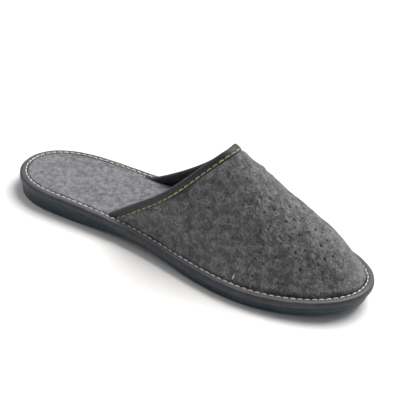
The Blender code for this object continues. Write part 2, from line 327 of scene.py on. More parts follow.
def edge_point(turn, side, inset):
    """Plan position inset from the outline by a distance, in the part's own frame."""
    turn = np.asarray(turn, dtype=float)
    nudge = 1e-4
    ahead = outline_point(np.clip(turn + nudge, 0.0, math.pi), side)
    behind = outline_point(np.clip(turn - nudge, 0.0, math.pi), side)
    along = ahead - behind
    along /= np.linalg.norm(along, axis=-1, keepdims=True)
    inward = side * np.stack([along[..., 1], -along[..., 0]], axis=-1)
    inset = np.asarray(inset, dtype=float)[..., None]
    return outline_point(turn, side) + inward * inset - CENTRE


def toe_lift(place):
    """Toe spring, from the end of the ball's flat to the toe tip."""
    share = np.clip((place - BALL_FLAT_END) / (1.0 - BALL_FLAT_END), 0.0, 1.0)
    return TOE_SPRING * share ** SPRING_POWER


def rim_height(place):
    """Top of the tape on the rim."""
    waist = smooth((place - WAIST_START) / (WAIST_END - WAIST_START))
    return HEEL_HEIGHT + (BALL_HEIGHT - HEEL_HEIGHT) * waist + toe_lift(place)


def on_rim(plan, drop=0.0):
    """Points over a line of plan positions, a drop below the rim's top."""
    return np.column_stack((plan, rim_height(place_of(plan[:, 0])) - drop))


def underside_height(place):
    """Underside of the sole: flat heel, raised arch, flat ball and toe spring."""
    up = smooth((place - HEEL_FLAT_END) / (ARCH_TOP - HEEL_FLAT_END))
    down = smooth((place - ARCH_TOP) / (BALL_FLAT_START - ARCH_TOP))
    return ARCH_RISE * up * (1.0 - down) + toe_lift(place)


# Felt wall

def wall_inset():
    """How far the foot of the upper's wall stands in from the outline."""
    return TAPE_REACH + GAP


def bezier(start, rise, shoulder, crown, share):
    """Cubic curve from start to crown."""
    rest = 1.0 - share
    return (rest ** 3 * start + 3.0 * rest ** 2 * share * rise
            + 3.0 * rest * share ** 2 * shoulder + share ** 3 * crown)


def upper_height(turn):
    """Height of the crown over the foot of the wall, falling in a round to the toe tip."""
    turns = turn_at(column(SECTIONS, 0))
    knots = np.concatenate((turns, [math.pi]))
    fullness = np.concatenate((column(SECTIONS, 1) / np.sin(turns), [TOE_FULLNESS]))
    return INSTEP_HEIGHT * np.sin(turn) * curve_through(knots, fullness, turn)


def section_share(turn, number):
    """One of the sections' shares, between the rows held by a smooth curve."""
    places = column(SECTIONS, 0)
    place = np.clip(place_at(turn), places[0], places[-1])
    return curve_through(places, column(SECTIONS, number), place)


def upper_point(turn, across, depth):
    """A point of the felt wall, at a depth in from its outer face."""
    turn, across = np.broadcast_arrays(np.asarray(turn, dtype=float), across)
    inset = np.full(turn.shape, wall_inset() + depth)
    medial = edge_point(turn, MEDIAL, inset)
    lateral = edge_point(turn, LATERAL, inset)
    middle, reach = (medial + lateral) / 2.0, (lateral - medial) / 2.0
    half = np.linalg.norm(reach, axis=-1)
    height = np.hypot(upper_height(turn), depth) - depth
    outer_side = across > 0.0
    sign = np.where(outer_side, 1.0, -1.0)
    lean = np.where(outer_side, section_share(turn, 4), section_share(turn, 3))
    shoulder = np.where(outer_side, section_share(turn, 7), section_share(turn, 6))
    shift = sign * section_share(turn, 2) * BALL_WIDTH * np.minimum(1.0, half / HEEL_ROUND)
    climb = 1.0 - np.abs(across)
    side = sign * bezier(half, half * (1.0 - lean), shoulder * half + shift, shift, climb)
    zero = np.zeros_like(height)
    up = bezier(zero, section_share(turn, 5) * height, height, height, climb)
    plan = middle + reach / np.maximum(half, 1e-5)[..., None] * side[..., None]
    base = rim_height(place_of(plan[..., 0])) - TAPE - GAP
    return np.concatenate([plan, (base + up)[..., None]], axis=-1)


def collar_turn(across):
    """The turn at which the collar cuts the wall."""
    across = np.asarray(across, dtype=float)
    end = np.where(across > 0.0, COLLAR_LATERAL_END, COLLAR_MEDIAL_END)
    power = np.where(across > 0.0, COLLAR_LATERAL_POWER, COLLAR_MEDIAL_POWER)
    bow = np.clip(1.0 - np.abs(across) ** COLLAR_BOW, 0.0, 1.0) ** power
    sag = COLLAR_SAG * hump(across + 0.70, 0.22)
    return turn_at(end + (COLLAR_PEAK - end) * bow + sag)


def collar_step(across, distance):
    """Change of turn that goes a distance forward from the collar, square to its rim."""
    turn = collar_turn(across)
    nudge = 1e-3
    forward = (upper_point(turn + nudge, across, 0.0) - upper_point(turn, across, 0.0)) / nudge
    beside = np.clip(across + nudge, -1.0, 1.0), np.clip(across - nudge, -1.0, 1.0)
    rim = (upper_point(collar_turn(beside[0]), beside[0], 0.0)
           - upper_point(collar_turn(beside[1]), beside[1], 0.0))
    rim /= np.linalg.norm(rim, axis=-1, keepdims=True)
    square = forward - rim * np.sum(forward * rim, axis=-1, keepdims=True)
    length = np.linalg.norm(forward, axis=-1)
    return distance / np.maximum(np.linalg.norm(square, axis=-1), length * math.sqrt(0.5))


# Points and meshes

def run_length(points, axis=0):
    """Distance travelled over a line or grid of points along one axis."""
    step = np.linalg.norm(np.diff(points, axis=axis), axis=-1)
    start = np.zeros_like(np.take(step, [0], axis=axis))
    return np.concatenate((start, np.cumsum(step, axis=axis)), axis=axis)


def spread(count, start, stop, gain):
    """Shares from 0 to 1 in a number of steps, gain times as close between start and stop."""
    share = np.linspace(0.0, 1.0, 2001)
    weight = np.where((share > start) & (share < stop), gain, 1.0)
    passed = np.concatenate(([0.0], np.cumsum((weight[1:] + weight[:-1]) / 2.0)))
    return np.interp(np.linspace(0.0, passed[-1], count + 1), passed, share)


def wobble(a, b, seed, shortest, longest, height):
    """Gentle unevenness: many waves of random heading over two surface distances."""
    random = np.random.default_rng(seed)
    waves = 16
    total = np.zeros_like(a)
    for _ in range(waves):
        heading, phase = random.uniform(0.0, math.pi), random.uniform(0.0, 2.0 * math.pi)
        length = random.uniform(shortest, longest)
        travel = a * math.cos(heading) + b * math.sin(heading)
        total += np.sin(2.0 * math.pi * travel / length + phase)
    return height * total / math.sqrt(waves)


def face_directions(points):
    """Unit vectors square to a grid of points, rows crossed with columns."""
    square = np.cross(np.gradient(points, axis=0), np.gradient(points, axis=1))
    return square / np.maximum(np.linalg.norm(square, axis=-1, keepdims=True), 1e-12)


def grid_faces(rows, columns, first=0, around=False):
    """Four-sided faces over a grid of points kept row by row; around joins its two sides."""
    row, place = np.meshgrid(
        np.arange(rows - 1), np.arange(columns if around else columns - 1), indexing="ij")
    beside = (place + 1) % columns
    low, high = row * columns, (row + 1) * columns
    corners = np.stack((low + place, low + beside, high + beside, high + place), axis=-1)
    return (first + corners.reshape(-1, 4)).tolist()


def strip_faces(one, other):
    """Faces between two lines of as many points."""
    return [(one[i], one[i + 1], other[i + 1], other[i]) for i in range(len(one) - 1)]


def bridge_faces(fine, coarse):
    """Faces between a line of points and one of half as many steps."""
    faces = []
    for i in range(len(coarse) - 1):
        left, middle, right = fine[2 * i:2 * i + 3]
        faces += [(left, middle, coarse[i]), (middle, coarse[i + 1], coarse[i]),
                  (middle, right, coarse[i + 1])]
    return faces


def plain_mesh(name, points, faces, edges=()):
    """A mesh with its faces turned as they are listed."""
    mesh = bpy.data.meshes.new(name)
    mesh.from_pydata(np.asarray(points, dtype=float).tolist(), edges, faces)
    return mesh


def keep_field(mesh, name, kind, key, values):
    """Keeps numbers or vectors as an attribute of a mesh's points."""
    held = mesh.attributes.new(name, kind, "POINT")
    held.data.foreach_set(key, np.asarray(values, dtype=np.float32).ravel())


def add_object(name, data):
    """An object that holds the data, in the scene."""
    made = bpy.data.objects.new(name, data)
    bpy.context.scene.collection.objects.link(made)
    return made


def make_piece(name, points, faces, material, **fields):
    """An object from points and faces. Doubles are merged, faces turned outward, and each field
    is kept as an attribute of the points."""
    mesh = plain_mesh(name, points, faces)
    for field, values in fields.items():
        keep_field(mesh, field, "FLOAT", "value", values)
    form = bmesh.new()
    form.from_mesh(mesh)
    bmesh.ops.remove_doubles(form, verts=form.verts, dist=MERGE)
    bmesh.ops.dissolve_degenerate(form, edges=form.edges, dist=MERGE)
    bmesh.ops.recalc_face_normals(form, faces=form.faces)
    form.to_mesh(mesh)
    form.free()
    mesh.shade_smooth()
    mesh.set_sharp_from_angle(angle=SHARP_EDGE)
    mesh.materials.append(material)
    return add_object(name, mesh)


def show(piece, slot, *nodes):
    """The piece rides on the shoe's one body and stands for its nodes; its slot is not used."""
    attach(piece, "root")
    if nodes:
        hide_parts(*nodes)


class Value:
    """A number on a node's socket. Arithmetic on it adds Math nodes to its tree."""

    def __init__(self, graph, socket):
        self.graph = graph
        self.socket = socket

    def __add__(self, other):
        return self.graph.maths("ADD", self, other)

    __radd__ = __add__

    def __mul__(self, other):
        return self.graph.maths("MULTIPLY", self, other)

    __rmul__ = __mul__

    def __sub__(self, other):
        return self.graph.maths("SUBTRACT", self, other)

    def __rsub__(self, other):
        return self.graph.maths("SUBTRACT", other, self)

    def __pow__(self, other):
        return self.graph.maths("POWER", self, other)


class Graph:
    """Adds nodes to one tree, of a material or of Geometry Nodes."""

    def __init__(self, tree):
        self.tree = tree

    def node(self, kind, values=None, **settings):
        """A node with its settings, then the values or links of its sockets."""
        made = self.tree.nodes.new(kind)
        for name, setting in settings.items():
            setattr(made, name, setting)
        for key, value in (values or {}).items():
            socket = made.inputs[key]
            if isinstance(value, Value):
                value = value.socket
            if isinstance(value, bpy.types.NodeSocket):
                self.tree.links.new(value, socket)
            else:
                socket.default_value = value
        return made

    def out(self, kind, values=None, **settings):
        """The first output of a new node."""
        return self.node(kind, values, **settings).outputs[0]

    def value(self, kind, values=None, **settings):
        """The first output of a new node, as a number."""
        return Value(self, self.out(kind, values, **settings))

    def maths(self, operation, *terms):
        return self.value("ShaderNodeMath", dict(enumerate(terms)), operation=operation)

    def clamp(self, value):
        return self.value("ShaderNodeClamp", {"Value": value})

    def between(self, value, start, stop):
        """0 below start, 1 above stop and smooth between them."""
        values = {"Value": value, "From Min": start, "From Max": stop}
        return self.value("ShaderNodeMapRange", values, interpolation_type="SMOOTHSTEP")

    def mix(self, factor, one, other):
        """One colour passing into another."""
        one, other = ((*c, 1.0) if isinstance(c, tuple) else c for c in (one, other))
        made = self.node("ShaderNodeMix", {0: factor, 6: one, 7: other}, data_type="RGBA")
        return made.outputs[2]

    def vector(self, x=0.0, y=0.0, z=0.0):
        return self.out("ShaderNodeCombineXYZ", {0: x, 1: y, 2: z})

    def axis(self, vector, name):
        """One coordinate of a vector."""
        return Value(self, self.node("ShaderNodeSeparateXYZ", {0: vector}).outputs[name])

    def moved(self, vector, offset):
        return self.out("ShaderNodeVectorMath", {0: vector, 1: offset}, operation="ADD")

    def noise(self, where, size, detail=2.0, roughness=0.5, distortion=0.0):
        """Noise whose spots are about size metres across."""
        return self.value("ShaderNodeTexNoise", {
            "Vector": where, "Scale": 1.0 / size, "Detail": detail, "Roughness": roughness,
            "Distortion": distortion})

    def strands(self, where, lay, length, width, amount):
        """Short fibres that lie one way, 1 on a fibre and 0 away from it."""
        values = {"Vector": where, "Rotation": lay, "Scale": (length, width, width)}
        laid = self.out("ShaderNodeMapping", values, vector_type="TEXTURE")
        return self.between(self.noise(laid, 1.0, detail=1.0), amount, amount + 0.14)

    def matted(self, where, lays, length, width, amount):
        """Strands of several lays over each other."""
        felted, *layers = [self.strands(where, lay, length, width, amount) for lay in lays]
        for layer in layers:
            felted = self.maths("MAXIMUM", felted, layer)
        return felted

    def random(self, least, most, given, draw=0):
        """A number for each point, from the tree's own seed."""
        values = {"Min": least, "Max": most, "Seed": Value(self, given["Seed"]) + draw}
        made = self.node("FunctionNodeRandomValue", values, data_type="FLOAT")
        return Value(self, made.outputs[1])

    def field(self, name):
        """A number kept on the mesh's points."""
        made = self.node("ShaderNodeAttribute", attribute_name=name, attribute_type="GEOMETRY")
        return Value(self, made.outputs["Fac"])

    def bump(self, height, distance):
        return self.out("ShaderNodeBump", {"Height": height, "Distance": distance, "Strength": 1.0})


# Finishes

def blank_finish(name, roughness, **constants):
    """A material with its graph, its surface node and its Object coordinates."""
    material = bpy.data.materials.new(name)
    material.use_nodes = True
    graph = Graph(material.node_tree)
    surface = material.node_tree.nodes["Principled BSDF"]
    surface.inputs["Roughness"].default_value = roughness
    for socket, value in constants.items():
        surface.inputs[socket.replace("_", " ")].default_value = value
    where = graph.node("ShaderNodeTexCoord").outputs["Object"]
    return material, graph, surface, where


def wire(graph, surface, **links):
    """Links results to the surface node's sockets."""
    for name, value in links.items():
        socket = value.socket if isinstance(value, Value) else value
        graph.tree.links.new(socket, surface.inputs[name.replace("_", " ")])


def felt_finish(name, deep, middle, pale, pierced):
    """Pressed wool felt: soft clouds and tufts of dark and light wool, matted with paler and
    darker fibres, and a fuzzy surface."""
    material, graph, surface, where = blank_finish(
        name, 1.0, Specular_IOR_Level=0.12, Sheen_Weight=0.38, Sheen_Roughness=0.55)
    clouds = graph.noise(where, 0.014, detail=2.0)
    tufts = graph.noise(where, 0.0041, detail=3.0, roughness=0.6, distortion=0.4)
    grain = graph.noise(where, 0.0010, detail=2.0)
    tone = (clouds - 0.5) * 0.45 + (tufts - 0.5) * 2.9 + (grain - 0.5) * 0.7 + 0.5
    base = graph.mix(graph.clamp(tone), deep, middle)
    light_wool = graph.matted(where, PALE_LAYS, length=0.0050, width=0.00060, amount=0.540)
    dark_wool = graph.matted(where, DARK_LAYS, length=0.0044, width=0.00065, amount=0.565)
    gathered = graph.between(graph.noise(graph.moved(where, (0.5, 0.2, 0.1)), 0.0050), 0.36, 0.64)
    colour = graph.mix(dark_wool * (1.0 - gathered) * 0.75, base, deep)
    colour = graph.mix(light_wool * (0.22 + gathered * 0.50), colour, pale)
    height = tufts * 0.9 + grain * 0.25 + light_wool * 0.30 - dark_wool * 0.12
    if pierced:
        # Painted shade at the bottom of each pinhole
        colour = graph.mix(graph.field("pit") * 0.75, colour, PIT_SHADE)
    wire(graph, surface, Base_Color=colour, Normal=graph.bump(height, 0.00060))
    return material


def tape_finish(name, base, pale_patch_and_highlight, roughness):
    """Folded tape with a fine leathery grain, paler in random patches and in a painted highlight (the
    rim tape's top shoulder, the collar tape's fold), with painted shade in its needle holes.
    """
    material, graph, surface, where = blank_finish(name, roughness, Specular_IOR_Level=0.42)
    pores = graph.value("ShaderNodeTexVoronoi", {"Vector": where, "Scale": 1.0 / 0.00085})
    patches = graph.noise(where, 0.009, detail=3.0)
    grain = graph.noise(where, 0.0009, detail=2.0)
    # Random patches and a painted highlight, a pale band on the rim tape's top shoulder and the collar
    # tape's fold, make the tape paler
    tone = graph.between(patches * 0.6 + grain * 0.4, 0.40, 0.66) * 0.28 + graph.field("rubbed") * 0.75
    colour = graph.mix(graph.clamp(tone), base, pale_patch_and_highlight)
    # Painted shade in the needle holes
    colour = graph.mix(graph.field("prick") * 0.85, colour, PRICK_SHADE)
    wire(graph, surface, Base_Color=colour, Roughness=graph.clamp(patches * 0.25 + roughness - 0.1),
         Normal=graph.bump(pores * 0.7 + grain * 0.5, 0.00010))
    return material


def lining_finish():
    """Dark woven lining."""
    material, graph, surface, where = blank_finish("lining_cloth", 0.9, Specular_IOR_Level=0.2)
    thread_pitch = 0.0009
    turns = 2.0 * math.pi / thread_pitch
    warp, weft = (graph.maths("SINE", graph.axis(where, name) * turns) for name in "XZ")
    weave = graph.clamp(warp * weft * 0.5 + 0.5)
    patches = graph.noise(where, 0.006, detail=3.0)
    colour = graph.mix(weave * 0.5 + patches * 0.5, (0.010, 0.010, 0.012), (0.030, 0.030, 0.034))
    wire(graph, surface, Base_Color=colour, Normal=graph.bump(weave, 0.00015))
    return material


def rubber_finish():
    """Moulded petrol rubber: faint flow marks, a fine skin, dulled low down where it rubs."""
    material, graph, surface, where = blank_finish("sole_rubber", 0.5, Specular_IOR_Level=0.45)
    rubbed_height = 0.0045
    low = 1.0 - graph.between(graph.axis(where, "Z"), 0.0, rubbed_height)
    patches = graph.noise(where, 0.012, detail=4.0, roughness=0.6)
    skin = graph.noise(where, 0.0008, detail=2.0)
    scuffs = graph.between(graph.noise(where, 0.0022, detail=4.0, roughness=0.7), 0.52, 0.66) * low
    colour = graph.mix(graph.between(patches, 0.35, 0.68),
                       (0.0110, 0.0255, 0.0350), (0.0200, 0.0430, 0.0580))
    colour = graph.mix(scuffs * 0.4, colour, (0.09, 0.10, 0.10))
    roughness = graph.clamp(patches * 0.3 + scuffs * 0.2 + 0.33)
    wire(graph, surface, Base_Color=colour, Roughness=roughness, Normal=graph.bump(skin, 0.00006))
    return material


def thread_finish(name, base, shaded):
    """Twisted sewing thread."""
    material, graph, surface, where = blank_finish(name, 0.65, Sheen_Weight=0.2)
    twist = graph.noise(where, 0.0005, detail=1.0)
    soil = graph.noise(where, 0.006, detail=2.0)
    colour = graph.mix(graph.between(twist * 0.5 + soil * 0.5, 0.38, 0.58), shaded, base)
    wire(graph, surface, Base_Color=colour, Normal=graph.bump(twist, 0.0001))
    return material


def nap_finish(name, deep, pale):
    """Loose fibres of the felt, each with its own tone."""
    material, graph, surface, _ = blank_finish(name, 0.9, Specular_IOR_Level=0.2)
    wire(graph, surface, Base_Color=graph.mix(graph.field("tone"), deep, pale))
    return material


# Geometry Nodes trees

def new_tree(name, **inputs):
    """A tree with a geometry in and out and named inputs, its graph and its inputs' sockets."""
    tree = bpy.data.node_groups.new(name, "GeometryNodeTree")
    for label, kind in {"Geometry": "Geometry", **inputs}.items():
        tree.interface.new_socket(name=label, in_out="INPUT", socket_type="NodeSocket" + kind)
    tree.interface.new_socket(name="Geometry", in_out="OUTPUT", socket_type="NodeSocketGeometry")
    graph = Graph(tree)
    return tree, graph, graph.node("NodeGroupInput").outputs


def close_tree(graph, given, instances):
    """Realize the instances, give them their material and end the tree."""
    real = graph.out("GeometryNodeRealizeInstances", {0: instances})
    painted = graph.out("GeometryNodeSetMaterial", {"Geometry": real, "Material": given["Material"]})
    graph.node("NodeGroupOutput", {0: painted})


def turned(graph, aim, by):
    """A rotation turned further in its own frame, by angles about X, Y and Z."""
    values = {"Rotation": aim, "Rotate By": by}
    return graph.out("FunctionNodeRotateRotation", values, rotation_space="LOCAL")


def spindle(graph, start, middle, end, thickness, sides, steps):
    """A bent strand with thin ends, through its three points."""
    line = graph.out("GeometryNodeCurveQuadraticBezier", {
        "Resolution": steps, "Start": start, "Middle": middle, "End": end})
    factor = Value(graph, graph.node("GeometryNodeSplineParameter").outputs["Factor"])
    radius = (graph.maths("SINE", factor * math.pi) ** 0.5) * 0.75 + 0.25
    line = graph.out("GeometryNodeSetCurveRadius", {"Curve": line, "Radius": radius})
    profile = graph.out("GeometryNodeCurvePrimitiveCircle", {"Resolution": sides, "Radius": thickness})
    body = graph.out("GeometryNodeCurveToMesh", {
        "Curve": line, "Profile Curve": profile, "Fill Caps": True})
    return graph.out("GeometryNodeSetShadeSmooth", {0: body})


def stitch_tree():
    """Stitches along a line of points, each lying along the line and facing outward."""
    tree, graph, given = new_tree(
        "stitch_row", Count="Int", Length="Float", Thread="Float", Rise="Float", Sink="Float",
        Skew="Float", Seed="Int", Material="Material")
    line = graph.out("GeometryNodeMeshToCurve", {0: given["Geometry"]})
    line = graph.out("GeometryNodeResampleCurve", {"Curve": line, "Count": given["Count"]}, mode="COUNT")
    tangent = graph.out("GeometryNodeInputTangent")
    outward = graph.out("GeometryNodeInputNamedAttribute", {"Name": "outward"}, data_type="FLOAT_VECTOR")
    aim = graph.out("FunctionNodeAlignRotationToVector", {"Vector": tangent}, axis="X")
    aim = graph.out("FunctionNodeAlignRotationToVector", {
        "Rotation": aim, "Vector": outward}, axis="Z", pivot_axis="X")
    length, rise, sink, skew = (
        Value(graph, given[name]) for name in ("Length", "Rise", "Sink", "Skew"))
    aim = turned(graph, aim, graph.vector(z=graph.random(0.0 - skew, skew, given)))
    start, end = (graph.vector(x=length * share, z=0.0 - sink) for share in (-0.5, 0.5))
    middle = graph.vector(z=rise * 2.0 + sink)
    stitch = spindle(graph, start, middle, end, given["Thread"], sides=8, steps=8)
    placed = graph.out("GeometryNodeInstanceOnPoints", {
        "Points": line, "Instance": stitch, "Rotation": aim,
        "Scale": graph.random(0.93, 1.05, given)})
    close_tree(graph, given, placed)
    return tree


def nap_tree():
    """Loose fibres scattered over a surface. Each is rooted at one end and lies nearly flat."""
    tree, graph, given = new_tree(
        "felt_nap", Density="Float", Length="Float", Fibre="Float", Rise="Float", Tilt="Float",
        Seed="Int", Material="Material")
    scatter = graph.node("GeometryNodeDistributePointsOnFaces", {
        "Mesh": given["Geometry"], "Density": given["Density"],
        "Seed": given["Seed"]}, distribute_method="RANDOM")
    length, rise, tilt = (Value(graph, given[name]) for name in ("Length", "Rise", "Tilt"))
    heading = graph.vector(z=graph.random(0.0, 2.0 * math.pi, given))
    aim = turned(graph, scatter.outputs["Rotation"], heading)
    lean = graph.random(0.0, 1.0, given, 1) ** 2.0 * tilt
    aim = turned(graph, aim, graph.vector(y=0.0 - lean))
    start = graph.vector(z=rise * -0.3)
    middle = graph.vector(length * 0.5, length * 0.28, rise * 2.0)
    end = graph.vector(x=length * 0.95)
    fibre = spindle(graph, start, middle, end, given["Fibre"], sides=3, steps=3)
    placed = graph.out("GeometryNodeInstanceOnPoints", {
        "Points": scatter.outputs["Points"], "Instance": fibre, "Rotation": aim,
        "Scale": graph.random(0.45, 1.35, given, 2)})
    toned = graph.out("GeometryNodeStoreNamedAttribute", {
        "Geometry": placed, "Name": "tone", "Value": graph.random(0.0, 1.0, given, 3)},
        data_type="FLOAT", domain="INSTANCE")
    close_tree(graph, given, toned)
    return tree


def grow(name, source, tree, inputs):
    """The plain mesh that a tree makes from a source mesh, as an object of its own."""
    carrier = add_object(name + "_source", source)
    modifier = carrier.modifiers.new(tree.name, "NODES")
    modifier.node_group = tree
    for item in tree.interface.items_tree:
        if item.item_type == "SOCKET" and item.in_out == "INPUT" and item.name in inputs:
            modifier[item.identifier] = inputs[item.name]
    graph = bpy.context.evaluated_depsgraph_get()
    mesh = bpy.data.meshes.new_from_object(
        carrier.evaluated_get(graph), preserve_all_data_layers=True, depsgraph=graph)
    carrier.modifiers.remove(modifier)
    bpy.data.objects.remove(carrier)
    mesh.name = name
    return add_object(name, mesh)


def stitch_row(name, points, outward, closed, count, tree, material, slot, **sizes):
    """One row of stitches along a line of points, made and shown."""
    steps = len(points)
    edges = [(i, (i + 1) % steps) for i in range(steps if closed else steps - 1)]
    line = plain_mesh(name, points, [], edges)
    keep_field(line, "outward", "FLOAT_VECTOR", "vector", outward)
    pitch = float(run_length(points)[-1]) / count
    show(grow(name, line, tree, {
        "Count": count if closed else count + 1, "Length": pitch * STITCH_SHARE,
        "Thread": THREAD, "Rise": STITCH_RISE, "Sink": STITCH_SINK, "Skew": STITCH_SKEW,
        "Seed": SEED, "Material": material, **sizes}), slot)


# Felt upper

def pressed(along):
    """How far the collar's tape presses the felt in, at a distance from the rim."""
    return COLLAR_PRESS * (1.0 - smooth(along / PRESS_REACH))


class FeltSheet:
    """The outer face of the felt as a grid: rows from the collar to the toe, columns from the
    medial to the lateral foot, with the distances on the felt that its relief follows."""

    def __init__(self, rows, columns):
        last_ring = 0.985
        rings = last_ring * spread(rows - 1, start=0.13, stop=0.68, gain=1.7)
        share = np.concatenate((rings, [1.0]))
        across = 2.0 * spread(columns, start=0.18, stop=0.80, gain=1.4) - 1.0
        across[columns // 2] = 0.0
        start = collar_turn(across)
        self.turn = start + share[:, None] * (math.pi - start)
        self.across = np.broadcast_to(across, self.turn.shape)
        self.points = upper_point(self.turn, self.across, 0.0)
        self.along = run_length(self.points, axis=0)
        girth = run_length(self.points, axis=1)
        self.sideways = girth - girth[:, [columns // 2]]
        self.foot = np.minimum(girth, girth[:, [-1]] - girth)
        seam_turn = turn_at(curve_through(column(SEAM, 0), column(SEAM, 1), across))
        at_seam = [np.interp(seam_turn[c], self.turn[:, c], self.along[:, c])
                   for c in range(columns + 1)]
        self.ahead = self.along - np.array(at_seam)
        self.pit = pinholes(self.ahead, self.sideways)
        self.outward = face_directions(self.points)
        relief = self.relief()
        self.points = self.points + self.outward * relief[..., None]
        self.points[-1] = self.points[-2].mean(axis=0)

    def relief(self):
        """Height of the real felt over the plain wall, with its folds and its sunken seam."""
        lengthwise = self.points[..., 0]
        to_toe = self.along[[-1]] - self.along
        edge = smooth(self.along / COLLAR_FADE) * smooth(to_toe / TOE_FADE)
        rise = wobble(lengthwise, self.sideways, SEED, shortest=0.016, longest=0.042, height=0.00030)
        rise += wobble(lengthwise, self.sideways, SEED + 1, shortest=0.006, longest=0.013,
                       height=0.00010)
        for place, across, heading, length, width, depth in FOLDS:
            turn = math.radians(heading)
            x = lengthwise - LENGTH * (place - 0.5)
            y = self.sideways - across * VAMP_GIRTH / 2.0
            along = x * math.cos(turn) + y * math.sin(turn)
            beside = y * math.cos(turn) - x * math.sin(turn)
            ends = smooth((length / 2.0 - np.abs(along)) / (length / 3.0))
            rise += depth * hump(beside, width) * ends
        rise *= edge
        rise += ridge(self.foot, *FOOT_BULGE) * edge
        rise += ridge(self.foot, *FOOT_DENT)
        rise += ridge(self.along, *COLLAR_BULGE) + ridge(self.along, *COLLAR_DENT)
        rise -= pressed(self.along)
        puckers = 0.75 + 0.25 * np.cos(2.0 * math.pi * self.sideways / SEAM_PITCH)
        sunk = SEAM_DEPTH * hump(self.ahead, SEAM_WIDTH) * puckers
        swell = SEAM_SWELL * (hump(self.ahead - SWELL_AWAY, SWELL_WIDTH)
                              + hump(self.ahead + SWELL_AWAY, SWELL_WIDTH))
        rise += (swell - sunk) * smooth(self.foot / 0.003)
        return rise - HOLE_DEPTH * self.pit

    def seam_line(self):
        """Points and outward directions along the bottom of the seam."""
        points, outward = [], []
        for c in range(3, self.points.shape[1] - 3):
            ahead = self.ahead[:, c]
            points.append([np.interp(0.0, ahead, self.points[:, c, k]) for k in range(3)])
            outward.append([np.interp(0.0, ahead, self.outward[:, c, k]) for k in range(3)])
        return np.array(points), np.array(outward)

    def open_felt(self):
        """Mesh of the felt that no tape covers, for its loose fibres to grow on."""
        bare = (self.along > BINDING_WIDTH + 0.0004) & (self.foot > 0.0006)
        rows, columns = bare.shape
        ids = np.array(grid_faces(rows, columns))
        shown = bare.ravel()[ids].all(axis=1)
        return plain_mesh("open_felt", self.points.reshape(-1, 3), ids[shown].tolist())


def pinholes(ahead, sideways):
    """1 in the middle of each pinhole and 0 outside it."""
    side_holes = math.ceil(HOLE_REACH / HOLE_PITCH) + 1
    stray = np.random.default_rng(SEED + 3).uniform(-1.0, 1.0, (HOLE_ROWS, 2 * side_holes + 1, 3))
    row = np.round((ahead - HOLE_FIRST) / HOLE_ROW)
    stagger = np.mod(row, 2.0) * HOLE_PITCH / 2.0
    place = np.round((sideways - stagger) / HOLE_PITCH)
    middle = stagger + place * HOLE_PITCH
    pierced = (row >= 0.0) & (row < HOLE_ROWS) & (np.abs(middle) < HOLE_REACH - HOLE_TAPER * row)
    own = stray[np.clip(row, 0, HOLE_ROWS - 1).astype(int),
                np.clip(place + side_holes, 0, 2 * side_holes).astype(int)]
    reach = np.hypot(ahead - HOLE_FIRST - row * HOLE_ROW - HOLE_STRAY * own[..., 0],
                     sideways - middle - HOLE_STRAY * own[..., 1])
    radius = HOLE_RADIUS * (1.0 + 0.18 * own[..., 2])
    return smooth((radius * 1.5 - reach) / radius) * pierced * (0.80 + 0.20 * own[..., 2])


def flange_points(turn, side):
    """Corners of the felt's foot under the tape: outer top, outer bottom and inner bottom."""
    corners = (
        (TAPE + GAP, TAPE + GAP),
        (TAPE + GAP, TAPE + GAP + FLANGE),
        (wall_inset() + WALL, TAPE + GAP + FLANGE),
    )
    return [on_rim(edge_point(turn, side, np.full(turn.shape, inset)), drop)
            for inset, drop in corners]


def build_upper(sheet, material):
    """Felt shell: the worked outer face, the plain inner face, and the foot turned outward."""
    rows, columns = sheet.turn.shape
    outer = np.arange(rows * columns).reshape(rows, columns)
    depth = WALL - pressed(sheet.along[::2, ::2])
    inner_points = upper_point(sheet.turn[::2, ::2], sheet.across[::2, ::2], depth)
    inner = rows * columns + np.arange(inner_points[..., 0].size).reshape(inner_points.shape[:2])
    points = [sheet.points.reshape(-1, 3), inner_points.reshape(-1, 3)]
    faces = grid_faces(rows, columns)
    faces += grid_faces(*inner.shape, first=int(inner[0, 0]))
    faces += bridge_faces(outer[0].tolist(), inner[0].tolist())
    first = int(inner[-1, -1]) + 1
    for side, number in ((MEDIAL, 0), (LATERAL, -1)):
        lines = flange_points(sheet.turn[:, number], side)
        points += lines
        chain = [outer[:, number].tolist()]
        chain += [list(range(first + k * rows, first + (k + 1) * rows)) for k in range(len(lines))]
        for one, other in zip(chain[:-1], chain[1:]):
            faces += strip_faces(one, other)
        faces += bridge_faces(chain[-1], inner[:, number].tolist())
        faces.append([line[0] for line in chain] + [int(inner[0, number])])
        first += len(lines) * rows
    points = np.concatenate(points)
    pit = np.zeros(len(points))
    pit[:rows * columns] = sheet.pit.ravel()
    return make_piece("felt_upper", points, faces, material, pit=pit)


def build_lining(material):
    """Thin cloth that lines the felt, from under the collar's tape to the footbed."""
    thickness, clear, under_tape, reach = 0.00022, 0.00002, 0.0012, 0.985
    rows, columns = 60, 64
    across = np.linspace(-reach, reach, columns + 1)
    start = collar_turn(across) + collar_step(across, under_tape)
    turn = start + np.linspace(0.0, reach, rows + 1)[:, None] * (math.pi - start)
    near = upper_point(turn, across, WALL + clear)
    far = upper_point(turn, across, WALL + clear + thickness)
    count = near[..., 0].size
    faces = grid_faces(rows + 1, columns + 1) + grid_faces(rows + 1, columns + 1, first=count)
    ids = np.arange(count).reshape(rows + 1, columns + 1)
    for line in (ids[0], ids[-1], ids[:, 0], ids[:, -1]):
        faces += strip_faces(line.tolist(), (line + count).tolist())
    points = np.concatenate((near.reshape(-1, 3), far.reshape(-1, 3)))
    return make_piece("lining", points, faces, material)


# Tapes

